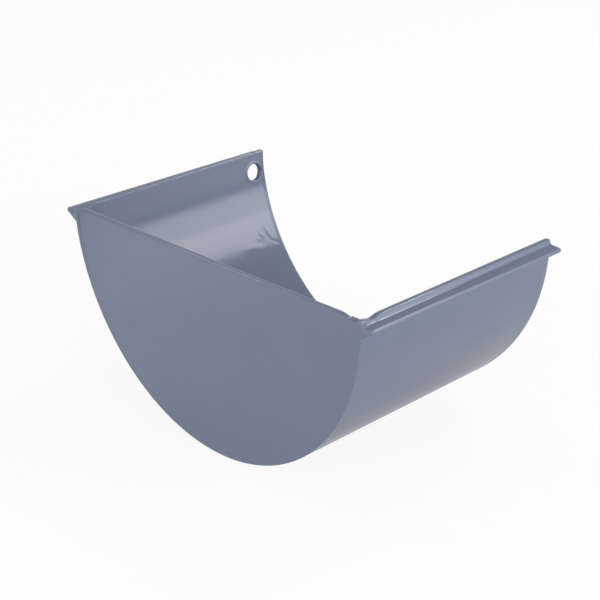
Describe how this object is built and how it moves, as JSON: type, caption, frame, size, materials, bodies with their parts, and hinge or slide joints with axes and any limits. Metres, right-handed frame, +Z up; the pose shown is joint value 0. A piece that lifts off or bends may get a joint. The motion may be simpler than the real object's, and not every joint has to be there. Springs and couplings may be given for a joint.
{
  "type": "gutter stop end",
  "caption": "Half-round gutter stop end: a short rimmed trough, closed by a flat welded plate at one end and open at the other to meet a gutter run.",
  "frame": {"origin": "middle of the underside, at the lowest line of the trough", "axes": "+Y along the trough to its open end, +Z up out of the trough, -X towards the wall with the fixing hole"},
  "size_m": [0.137, 0.08, 0.0645],
  "materials": {
    "coating": "semi-gloss blue-grey powder coat on aluminium"
  },
  "bodies": {
    "root": {"gutter_section": "coating", "end_plate": "coating", "corner_welds": "coating"}
  },
  "joints": []
}
